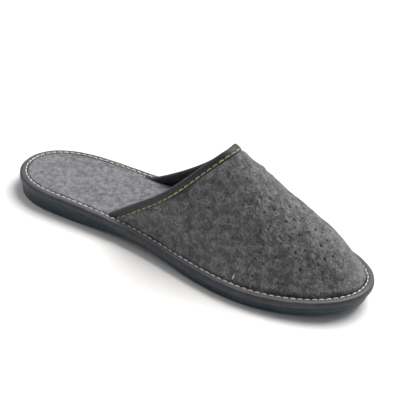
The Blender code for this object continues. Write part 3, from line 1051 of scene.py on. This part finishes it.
class RimLoop:
    """Stations at even distances round the outline: along the medial side from the heel to the
    toe, then back along the lateral side."""

    def __init__(self, spacing):
        dense = np.linspace(0.0, math.pi, 2001)
        turns, sides = [], []
        for side in (MEDIAL, LATERAL):
            travel = run_length(outline_point(dense, side))
            steps = round(float(travel[-1]) / spacing)
            even = np.interp(np.linspace(0.0, travel[-1], steps + 1), travel, dense)
            turns.append(even[:-1] if side == MEDIAL else even[:0:-1])
            sides.append(np.full(steps, side))
        self.turn = np.concatenate(turns)
        self.side = np.concatenate(sides)

    def points(self, inset):
        """One point at each station, at the height of the rim's top."""
        return on_rim(np.where((self.side == MEDIAL)[:, None], edge_point(self.turn, MEDIAL, inset),
                               edge_point(self.turn, LATERAL, inset)))


def rim_phase(loop, pitch):
    """Number of stitches round the rim, and each station's place within its stitch."""
    line = loop.points(RIM_STITCH_INSET)
    travel = run_length(np.concatenate((line, line[:1])))
    count = round(float(travel[-1]) / pitch)
    return count, travel[:-1] / travel[-1] * count


def needle_dip(distance, phase):
    """How strongly a tape is pulled down near a needle hole, which lies between two stitches."""
    near = 0.5 - 0.5 * np.cos(2.0 * math.pi * phase)
    return hump(distance, PRICK_WIDTH) * (0.35 + 0.65 * near ** 2)


def pricked(dip):
    """1 in a needle hole and 0 away from it."""
    return smooth((dip - 0.72) / 0.25)


def rim_section():
    """Inset from the outline and drop from the rim's top, round the tape: over its top leg, the
    rounded shoulder and the side leg, then back inside."""
    shoulder, tuck = 0.0019, 0.0004
    section = [(TAPE_REACH, TAPE), (TAPE_REACH, 0.0005), (TAPE_REACH - 0.0001, 0.00022)]
    for inset in np.linspace(TAPE_REACH - tuck, shoulder, 14):
        section.append((inset, 0.0))
    for angle in np.linspace(0.0, math.pi / 2.0, 8)[1:]:
        section.append((shoulder * (1.0 - math.sin(angle)), shoulder * (1.0 - math.cos(angle))))
    for drop in np.linspace(shoulder, TAPE_DROP - tuck, 6)[1:]:
        section.append((0.0, drop))
    section += [(0.0001, TAPE_DROP - 0.0001), (tuck, TAPE_DROP), (TAPE, TAPE_DROP),
                (TAPE, TAPE + 0.0018), (TAPE, TAPE)]
    return section


def build_edge_binding(loop, material):
    """Tape round the rim: crowned top, rounded shoulder, slightly full side, sunk stitches."""
    count, phase = rim_phase(loop, RIM_PITCH)
    lines, pricks, rubbed = [], [], []
    travel = np.arange(len(loop.turn)) / len(loop.turn)
    for inset, drop in rim_section():
        on_top = drop < TAPE / 2.0
        dip = needle_dip(inset - RIM_STITCH_INSET, phase) if on_top else 0.0 * phase
        crown = ridge(inset, *TAPE_CROWN) if on_top else 0.0
        margin = TAPE_MARGIN * float(smooth((inset - 0.0040) / 0.0018)) if on_top else 0.0
        uneven = 0.00008 * np.sin(2.0 * math.pi * travel * 37.0 + inset * 900.0)
        full = ridge(drop, *TAPE_SIDE) if inset < TAPE / 2.0 else 0.0
        sunk = TAPE_PULL * dip - crown + margin
        line = loop.points(np.full(len(phase), inset + full) + uneven * (inset < TAPE))
        line[:, 2] -= drop + sunk
        lines.append(line)
        pricks.append(pricked(dip))
        # Painted highlight: a pale band along the tape's top shoulder, where the light falls
        rubbed.append(np.full(len(phase), ridge(inset, *TAPE_HIGHLIGHT) if on_top else 0.0))
    points = np.stack(lines)
    faces = grid_faces(len(lines), len(phase), around=True)
    ids = np.arange(points[..., 0].size).reshape(len(lines), len(phase))
    faces += strip_faces(ids[-1].tolist() + [int(ids[-1, 0])], ids[0].tolist() + [int(ids[0, 0])])
    return make_piece("edge_tape", points.reshape(-1, 3), faces, material,
                      prick=np.concatenate(pricks), rubbed=np.concatenate(rubbed)), count


def collar_stations(spacing):
    """Places across the wall at even distances along the collar."""
    dense = np.linspace(-1.0, 1.0, 1201)
    travel = run_length(upper_point(collar_turn(dense), dense, 0.0))
    steps = round(float(travel[-1]) / spacing)
    return np.interp(np.linspace(0.0, travel[-1], steps + 1), travel, dense)


def collar_line(across, ahead, depth):
    """Points of the collar's tape, a distance ahead of the rim and at a depth in the felt."""
    return upper_point(collar_turn(across) + collar_step(across, ahead), across, depth)


def collar_section():
    """Distance ahead of the rim and depth, for the tape's outer side and its felt side: from its
    lower edge up to the round fold and down again inside."""
    reach, middle = FOLD_START + FOLD_TIP, WALL / 2.0
    half, full = middle + FOLD_PROUD, 0.85
    outer = [(BINDING_WIDTH, -0.00002), (BINDING_WIDTH, -0.0004), (BINDING_WIDTH - 0.0003, -0.00075)]
    for ahead in np.linspace(BINDING_WIDTH - 0.0007, FOLD_START, 12):
        outer.append((ahead, -FOLD_PROUD))
    for angle in np.linspace(0.0, math.pi, 17)[1:-1]:
        level = math.copysign(abs(math.cos(angle)) ** full, math.cos(angle))
        outer.append((FOLD_START - reach * math.sin(angle) ** full, middle - half * level))
    outer += [(ahead, WALL + FOLD_PROUD) for ahead in np.linspace(FOLD_START, BINDING_WIDTH, 7)]
    felt_side = []
    for ahead, depth in outer:
        share = 1.0 - 0.0006 / half
        felt_side.append((FOLD_START + (ahead - FOLD_START) * share if ahead < FOLD_START else ahead,
                          middle + (depth - middle) * share))
    return outer, felt_side


def build_collar_binding(across, material):
    """Dark tape folded over the collar, full between its stitches and the fold."""
    rim = collar_line(across, COLLAR_STITCH_AHEAD, 0.0)
    travel = run_length(rim)
    count = round(float(travel[-1]) / COLLAR_PITCH)
    phase = travel / travel[-1] * count
    outer, felt_side = collar_section()
    lines, pricks, rubbed = [], [], []
    nudge = 0.0005
    for ahead, depth in outer:
        outside = depth < 0.0
        dip = needle_dip(ahead - COLLAR_STITCH_AHEAD, phase) if outside else 0.0 * phase
        full = ridge(ahead, *COLLAR_CROWN) if outside else 0.0
        line = collar_line(across, ahead, depth - full)
        inward = (collar_line(across, ahead, depth - full + nudge) - line) / nudge
        lines.append(line + inward * (COLLAR_PULL * dip)[:, None])
        pricks.append(pricked(dip))
        from_fold = math.hypot(ahead + FOLD_TIP, depth)
        # Painted highlight: a pale band round the fold, where the light falls
        rubbed.append(np.full(len(across), hump(from_fold, COLLAR_HIGHLIGHT_WIDTH)))
    for ahead, depth in felt_side[::-1]:
        lines.append(collar_line(across, ahead, depth))
        pricks.append(0.0 * phase)
        rubbed.append(0.0 * phase)
    points = np.stack(lines)
    rows, stations = len(lines), len(across)
    faces = grid_faces(rows, stations)
    ids = np.arange(rows * stations).reshape(rows, stations)
    faces += strip_faces(ids[-1].tolist(), ids[0].tolist())
    half = rows // 2
    for end in (0, -1):
        faces += strip_faces(ids[:half, end].tolist(), ids[:half - 1:-1, end].tolist())
    return make_piece("collar_tape", points.reshape(-1, 3), faces, material,
                      prick=np.concatenate(pricks), rubbed=np.concatenate(rubbed)), count


# Footbed and sole

def body_grid(rows, columns, inset):
    """Plan grid inside the outline: rows from heel to toe, columns from medial to lateral, with
    each point's distance from the outline."""
    turn = np.linspace(0.0, math.pi, rows + 1)
    medial, lateral = edge_point(turn, MEDIAL, inset), edge_point(turn, LATERAL, inset)
    share = (1.0 - np.cos(np.linspace(0.0, math.pi, columns + 1))) / 2.0
    share = 0.6 * share + 0.4 * np.linspace(0.0, 1.0, columns + 1)
    plan = medial[:, None] + (lateral - medial)[:, None] * share[None, :, None]
    loop = RimLoop(0.002)
    rim = loop.points(0.0)[:, :2]
    flat = plan.reshape(-1, 2)
    nearest = np.full(len(flat), np.inf)
    for point in rim:
        nearest = np.minimum(nearest, np.sum((flat - point) ** 2, axis=1))
    return plan, np.sqrt(nearest).reshape(plan.shape[:2])


def slab(name, plan, top, bottom, material):
    """A closed slab under a grid: its worked top face, straight sides and a plain underside."""
    rows, columns = plan.shape[0] - 1, plan.shape[1] - 1
    upper_face = np.concatenate((plan, top[..., None]), axis=-1)
    edges = plan[:, [0, -1]]
    lower = np.concatenate((edges, bottom[:, [0, -1], None]), axis=-1)
    count = upper_face[..., 0].size
    ids = np.arange(count).reshape(plan.shape[:2])
    faces = grid_faces(rows + 1, columns + 1) + grid_faces(rows + 1, 2, first=count)
    for number, side in ((0, 0), (-1, 1)):
        under = list(range(count + side, count + 2 * (rows + 1), 2))
        faces += strip_faces(ids[:, number].tolist(), under)
    points = np.concatenate((upper_face.reshape(-1, 3), lower.reshape(-1, 3)))
    return make_piece(name, points, faces, material)


def build_insole(material):
    """Felt footbed: pressed flat under tape and upper, swelling to its full thickness inside."""
    plan, edge = body_grid(300, 110, TAPE + GAP)
    place = place_of(plan[..., 0])
    height = rim_height(place) - TAPE - GAP
    collar_end = np.where(plan[..., 1] > 0.0, COLLAR_LATERAL_END, COLLAR_MEDIAL_END)
    under_upper = smooth((place - collar_end - BED_TUCK) / 0.005)
    sunk_edge = wall_inset() + WALL + GAP
    sunk = (FLANGE + GAP) * under_upper * (1.0 - smooth((edge - sunk_edge + 0.0004) / 0.0008))
    start = wall_inset() * (1.0 - under_upper) + sunk_edge * under_upper
    swell = BED_SWELL * smooth((edge - start + 0.0008) / 0.0015)
    depth, middle, length, width = HEEL_HOLLOW
    foot_dent = ridge(plan[..., 0], depth, middle, length) * hump(plan[..., 1], width)
    inside = smooth((edge - start) / 0.006)
    uneven = wobble(plan[..., 0], plan[..., 1], SEED + 2, shortest=0.012, longest=0.040,
                    height=0.00016) * inside
    top = height - sunk + swell - foot_dent * inside + uneven
    bottom = rim_height(place) - TAPE_DROP
    rows, columns = edge.shape
    ids = np.array(grid_faces(rows, columns))
    bare = ((edge > start) & (place < COLLAR_PEAK)).ravel()[ids].all(axis=1)
    surface = np.concatenate((plan, top[..., None]), axis=-1).reshape(-1, 3)
    mesh = plain_mesh("bare_bed", surface, ids[bare].tolist())
    return slab("felt_footbed", plan, top, bottom, material), mesh


def tread(place, sideways, edge):
    """Depth of the fine ribs in the underside, inside a plain border."""
    pitch, depth, wave_height, wave_length = 0.0052, 0.0007, 0.0030, 0.022
    border_width, heel_end, ball_start, fade = 0.0085, 0.275, 0.505, 0.008
    border = smooth((edge - border_width) / 0.0010)
    heel = 1.0 - smooth((place - heel_end) / fade)
    ball = smooth((place - ball_start) / fade)
    wave = wave_height * np.sin(2.0 * math.pi * sideways / wave_length)
    ribs = smooth(0.5 + 1.6 * np.sin(2.0 * math.pi * (place * LENGTH + wave) / pitch))
    return depth * ribs * border * (heel + ball)


def sole_side():
    """Section of the sole's side: inset from the outline, share of the height between underside
    and top, and a further rise in metres. Bevel, slightly hollow side, groove and lip."""
    section = []
    for angle in (30.0, 60.0, 90.0):
        turn = math.radians(angle)
        inset = SOLE_INSET + SOLE_TAPER + SOLE_BEVEL * (1.0 - math.sin(turn))
        section.append((inset, 0.0, SOLE_BEVEL * (1.0 - math.cos(turn))))
    for share in (0.30, 0.45, 0.60, 0.75):
        hollow = 0.0003 * math.sin(math.pi * share)
        section.append((SOLE_INSET + SOLE_TAPER * (1.0 - share) + hollow, share, 0.0))
    for inset, drop in LIP:
        section.append((SOLE_INSET + inset, 1.0, -drop))
    return section


def build_outsole(material):
    """Moulded sole: ribbed underside, bevel, side with a fine lip, and a plain top."""
    plan, edge = body_grid(560, 56, SOLE_INSET + SOLE_TAPER + SOLE_BEVEL)
    place = place_of(plan[..., 0])
    rows = plan.shape[0]
    under = underside_height(place) + tread(place, plan[..., 1], edge)
    bottom = np.concatenate((plan, under[..., None]), axis=-1)
    ids = np.arange(under.size).reshape(under.shape)
    points, faces = [bottom.reshape(-1, 3)], grid_faces(*under.shape)
    turn = np.linspace(0.0, math.pi, rows)
    first, tops = under.size, []
    for side, number in ((MEDIAL, 0), (LATERAL, -1)):
        below = ids[:, number].tolist()
        for inset, share, rise in sole_side():
            line = edge_point(turn, side, np.full(turn.shape, inset))
            low = underside_height(place_of(line[:, 0]))
            high = rim_height(place_of(line[:, 0])) - TAPE_DROP - GAP
            points.append(np.column_stack((line, low + (high - low) * share + rise)))
            above = list(range(first, first + rows))
            faces += strip_faces(below, above)
            below, first = above, first + rows
        tops.append(below)
    faces += strip_faces(*tops)
    return make_piece("moulded_sole", np.concatenate(points), faces, material)


# Stage

EYE = Vector((0.2688, -0.5580, 0.4155))
SIGHT = Vector((-0.3815, 0.6940, -0.6107))
UPWARD = Vector((-0.3663, 0.4931, 0.7891))
AIM = Vector((0.004, 0.004, 0.030))
SENSOR = 36.0
LENS = 91.0


def build_camera():
    """The photograph's camera, turned about its own place so that the one shoe fills the frame."""
    data = bpy.data.cameras.new("camera")
    data.sensor_width = SENSOR
    data.lens = LENS
    data.clip_start = 0.01
    camera = add_object("camera", data)
    towards = (AIM - EYE).normalized()
    upward = SIGHT.rotation_difference(towards) @ UPWARD
    right = towards.cross(upward).normalized()
    upward = right.cross(towards)
    turn = Matrix((right, upward, -towards)).transposed()
    camera.matrix_world = Matrix.Translation(EYE) @ turn.to_4x4()
    bpy.context.scene.camera = camera


def build_floor():
    """Wide pale floor that glows further out: a painted glow from its own emission, no lamp, that makes
    it look as bright as a studio's lit sweep.
    """
    material, graph, surface, where = blank_finish(
        "pale_floor", 0.9, Specular_IOR_Level=0.2, Emission_Strength=0.85)
    away = (graph.axis(where, "X") ** 2.0 + graph.axis(where, "Y") ** 2.0) ** 0.5
    # Painted glow: emission that brightens the floor further from the shoe
    painted_glow = graph.mix(graph.between(away, 0.8, 3.2), (0.0, 0.0, 0.0), (1.0, 1.0, 1.0))
    shade = graph.between(graph.noise(where, 0.6, detail=2.0), 0.3, 0.7)
    colour = graph.mix(shade, (0.86, 0.85, 0.84), (0.88, 0.87, 0.86))
    wire(graph, surface, Base_Color=colour, Emission_Color=painted_glow)
    reach = 6.0
    corners = [(-reach, -reach, 0.0), (reach, -reach, 0.0), (reach, reach, 0.0), (-reach, reach, 0.0)]
    mesh = plain_mesh("floor", corners, [(0, 1, 2, 3)])
    mesh.materials.append(material)
    add_object("floor", mesh)


def add_light(name, place, size, power, colour=(1.0, 1.0, 1.0)):
    """A square soft light that faces the shoe."""
    data = bpy.data.lights.new(name, "AREA")
    data.shape = "SQUARE"
    data.size = size
    data.energy = power
    data.color = colour
    light = add_object(name, data)
    light.location = place
    light.rotation_euler = (AIM - Vector(place)).to_track_quat("-Z", "Y").to_euler()


def build_light():
    """Soft studio light from above and behind, and a dim pale room."""
    add_light("overhead", (0.32, 0.75, 1.65), 1.3, 46.0, (1.0, 0.985, 0.96))
    add_light("left_fill", (-1.50, -0.20, 1.00), 1.0, 5.0)
    add_light("right_rim", (0.75, 1.35, 0.80), 1.2, 6.0)
    world = bpy.data.worlds.new("room")
    world.use_nodes = True
    room = world.node_tree.nodes["Background"]
    room.inputs["Color"].default_value = (0.95, 0.97, 1.0, 1.0)
    graph = Graph(world.node_tree)
    seen = Value(graph, graph.node("ShaderNodeLightPath").outputs["Is Camera Ray"])
    world.node_tree.links.new((seen * 0.72 + 0.30).socket, room.inputs["Strength"])
    bpy.context.scene.world = world
    bpy.context.scene.view_settings.view_transform = "Standard"


def main():
    build_camera()
    build_floor()
    build_light()
    felt = felt_finish("upper_felt", (0.016, 0.016, 0.017), (0.105, 0.105, 0.110),
                       (0.32, 0.32, 0.335), True)
    bed_felt = felt_finish("insole_felt", (0.044, 0.044, 0.050), (0.182, 0.182, 0.202),
                           (0.39, 0.39, 0.425), False)
    upper_nap = nap_finish("upper_nap", (0.030, 0.030, 0.032), (0.36, 0.36, 0.38))
    bed_nap = nap_finish("footbed_nap", (0.055, 0.055, 0.062), (0.42, 0.42, 0.46))
    # The paler colour of each tape serves both its random patches and its painted highlight
    edge_tape = tape_finish("edge_tape", (0.029, 0.029, 0.037), (0.100, 0.100, 0.118), 0.48)
    collar_tape = tape_finish("collar_tape", (0.017, 0.017, 0.020), (0.058, 0.058, 0.065), 0.46)
    ivory = thread_finish("ivory_thread", (0.84, 0.81, 0.69), (0.58, 0.55, 0.44))
    olive = thread_finish("olive_thread", (0.44, 0.40, 0.20), (0.26, 0.24, 0.12))
    buried = thread_finish("buried_thread", (0.37, 0.34, 0.20), (0.18, 0.165, 0.10))
    loop = RimLoop(STATION)

    sheet = FeltSheet(rows=240, columns=250)
    show(build_upper(sheet, felt), "upper_felt", "upper")
    show(build_lining(lining_finish()), "upper_felt")
    footbed, bare_bed = build_insole(bed_felt)
    show(footbed, "insole_felt", "insole")
    show(build_outsole(rubber_finish()), "sole_rubber", "outsole")
    rim_tape, rim_count = build_edge_binding(loop, edge_tape)
    show(rim_tape, "edge_tape", "edge_binding")
    across = collar_stations(STATION)
    dark_tape, collar_count = build_collar_binding(across, collar_tape)
    show(dark_tape, "collar_tape", "collar_binding")

    stitches = stitch_tree()
    upright = np.array([0.0, 0.0, 1.0])
    rim = loop.points(RIM_STITCH_INSET) - 0.00005 * upright
    stitch_row("rim_stitches", rim, np.tile(upright, (len(rim), 1)), True,
               rim_count, stitches, ivory, "edge_tape")
    top = collar_line(across, COLLAR_STITCH_AHEAD, -FOLD_PROUD)
    under = collar_line(across, COLLAR_STITCH_AHEAD, 0.0)
    stitch_row("collar_stitches", top, (top - under) / FOLD_PROUD, False,
               collar_count, stitches, olive, "collar_tape")
    seam, outward = sheet.seam_line()
    seam_count = round(float(run_length(seam)[-1]) / SEAM_PITCH)
    stitch_row("seam_stitches", seam, outward, False, seam_count, stitches, buried, "upper_felt",
               Length=SEAM_PITCH * 0.6, Thread=0.00034, Rise=0.0, Sink=0.0004, Skew=0.30)
    end = [np.column_stack([np.interp(SEAM_END, run_length(seam), line[:, k]) for k in range(3)])
           for line in (seam, outward)]
    stitch_row("seam_end_stitches", *end, False, 1, stitches, ivory, "upper_felt",
               Length=0.0036, Thread=0.0004, Rise=0.0003)

    fibres = nap_tree()
    for name, source, wool, slot in (("felt_nap", sheet.open_felt(), upper_nap, "upper_felt"),
                                     ("footbed_nap", bare_bed, bed_nap, "insole_felt")):
        piece = grow(name, source, fibres, {
            "Density": NAP_DENSITY, "Length": NAP_LENGTH, "Fibre": NAP_FIBRE, "Rise": NAP_RISE,
            "Tilt": NAP_TILT, "Seed": SEED, "Material": wool})
        show(piece, slot)


main()
